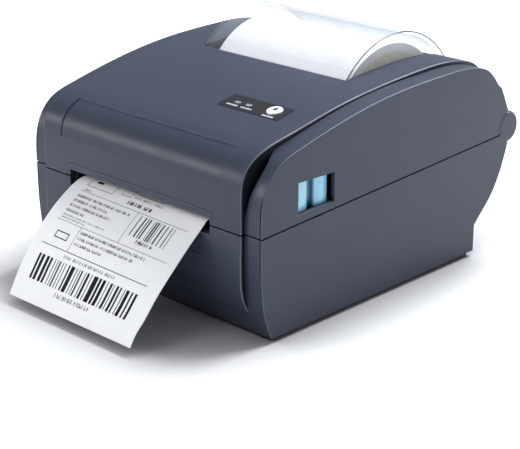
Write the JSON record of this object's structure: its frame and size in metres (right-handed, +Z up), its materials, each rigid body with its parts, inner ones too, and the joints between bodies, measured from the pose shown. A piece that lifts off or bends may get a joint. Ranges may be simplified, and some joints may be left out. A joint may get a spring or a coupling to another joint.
{
  "type": "thermal label printer",
  "caption": "Desktop direct thermal label printer: hinged cover with a clear roll window, side release levers and a front exit slot.",
  "frame": {"origin": "on the surface the printer stands on, under the middle of the box around the whole object, label strip included", "axes": "+Z up, +Y from the exit slot towards the hinge, +X to the right for someone who faces the exit slot"},
  "size_m": [0.1852, 0.2781, 0.1385],
  "materials": {
    "shell": "satin moulded ABS, fine grain",
    "black_plastic": "fine grain",
    "panel_film": "printed film",
    "button_white": "smooth",
    "latch_blue": "smooth",
    "clear_window": "clear moulded",
    "lens": "smooth",
    "label_paper": "smooth coated",
    "core_board": "spiral wound",
    "rubber": "matt",
    "steel": "ground",
    "zinc_steel": "zinc plated",
    "aluminium": "extruded",
    "ceramic": "glazed",
    "gear_plastic": "acetal",
    "bush_plastic": "acetal",
    "board_green": "solder mask",
    "connector_black": "moulded",
    "spring_steel": "drawn wire"
  },
  "bodies": {
    "base": {"base_housing": "shell", "lower_bezel": "shell", "bottom_plate": "black_plastic", "rubber_feet": "rubber", "base_screws": "zinc_steel", "platen_frame": "black_plastic", "platen_bushes": "bush_plastic", "catch_pins": "steel", "idler_stud": "steel", "drive_motor": "zinc_steel", "main_board": "board_green", "board_parts": "connector_black", "board_screws": "zinc_steel", "power_jack": "connector_black", "usb_port": "steel", "switch_frame": "connector_black", "media_bay": "black_plastic", "pinion_spring": "spring_steel", "label_strip": "label_paper", "sensor_rail": "steel", "cover_sensor": "connector_black", "hinge_pins": "steel"},
    "cover": {"top_cover": "shell", "upper_bezel": "shell", "roll_window": "clear_window", "control_panel": "panel_film", "indicator_lenses": "lens", "button_board": "board_green", "tact_switch": "connector_black", "head_frame": "zinc_steel", "frame_screws": "zinc_steel", "head_springs": "spring_steel", "latch_springs": "spring_steel"},
    "print_head": {"heat_sink": "aluminium", "thermal_head": "ceramic", "head_connector": "connector_black"},
    "release_latch": {"latch_shaft": "steel", "latch_lever_right": "latch_blue", "latch_lever_left": "latch_blue", "latch_hook_right": "black_plastic", "latch_hook_left": "black_plastic"},
    "button": {"feed_button": "button_white"},
    "platen": {"platen_shaft": "steel", "platen_rubber": "rubber", "platen_gear": "gear_plastic"},
    "idler": {"idler_gear": "gear_plastic"},
    "motor_rotor": {"motor_shaft": "steel", "motor_pinion": "gear_plastic"},
    "right_holder": {"holder_right": "black_plastic"},
    "left_holder": {"holder_left": "black_plastic"},
    "rack_pinion": {"holder_pinion": "gear_plastic"},
    "media_roll": {"label_roll": "label_paper", "roll_core": "core_board"},
    "sensor_carriage": {"gap_sensor": "black_plastic"},
    "switch_rocker": {"power_rocker": "connector_black"}
  },
  "joints": [
    {"name": "cover_hinge", "type": "hinge", "parent": "base", "child": "cover", "pos_m": [0, 0.1293, 0.0746], "axis": [-1, 0, 0], "range_deg": [0, 95]},
    {"name": "head_float", "type": "hinge", "parent": "cover", "child": "print_head", "pos_m": [0, -0.048, 0.068], "axis": [-1, 0, 0], "range_deg": [0, 3], "stiffness_Nm_per_rad": 0.9, "springref_deg": -6.88, "deforming": ["head_springs"]},
    {"name": "latch_pull", "type": "hinge", "parent": "cover", "child": "release_latch", "pos_m": [0, -0.042, 0.095], "axis": [-1, 0, 0], "range_deg": [0, 7], "stiffness_Nm_per_rad": 0.25, "springref_deg": -20.05},
    {"name": "button_press", "type": "slide", "parent": "cover", "child": "button", "axis": [0, 0.1867, -0.9824], "range_m": [0, 0.0009], "stiffness_N_per_m": 400, "springref_m": -0.0008},
    {"name": "platen_spin", "type": "hinge", "parent": "base", "child": "platen", "pos_m": [0, -0.066, 0.0526], "axis": [1, 0, 0], "continuous": true},
    {"name": "idler_spin", "type": "hinge", "parent": "base", "child": "idler", "pos_m": [0, -0.05129, 0.03159], "axis": [1, 0, 0], "continuous": true},
    {"name": "motor_spin", "type": "hinge", "parent": "base", "child": "motor_rotor", "pos_m": [0, -0.03192, 0.0264], "axis": [1, 0, 0], "continuous": true},
    {"name": "holder_right_slide", "type": "slide", "parent": "base", "child": "right_holder", "axis": [1, 0, 0], "range_m": [0, 0.01]},
    {"name": "holder_left_slide", "type": "slide", "parent": "base", "child": "left_holder", "axis": [-1, 0, 0], "range_m": [0, 0.01]},
    {"name": "rack_pinion_spin", "type": "hinge", "parent": "base", "child": "rack_pinion", "pos_m": [0, 0.0635, 0.01875], "axis": [0, 0, -1], "range_deg": [0, 72]},
    {"name": "roll_spin", "type": "hinge", "parent": "base", "child": "media_roll", "pos_m": [0, 0.0635, 0.0821], "axis": [1, 0, 0], "continuous": true},
    {"name": "sensor_slide", "type": "slide", "parent": "base", "child": "sensor_carriage", "axis": [1, 0, 0], "range_m": [-0.039, 0.039]},
    {"name": "power_rock", "type": "hinge", "parent": "base", "child": "switch_rocker", "pos_m": [0.058, 0.097, 0.0142], "axis": [0, 0, -1], "range_deg": [0, 20]}
  ],
  "couplings": [
    {"joint": "idler_spin", "follows": "platen_spin", "ratio": -0.77778},
    {"joint": "motor_spin", "follows": "platen_spin", "ratio": 2},
    {"joint": "holder_left_slide", "follows": "holder_right_slide", "ratio": 1},
    {"joint": "rack_pinion_spin", "follows": "holder_right_slide", "rad_per_m": 125}
  ]
}
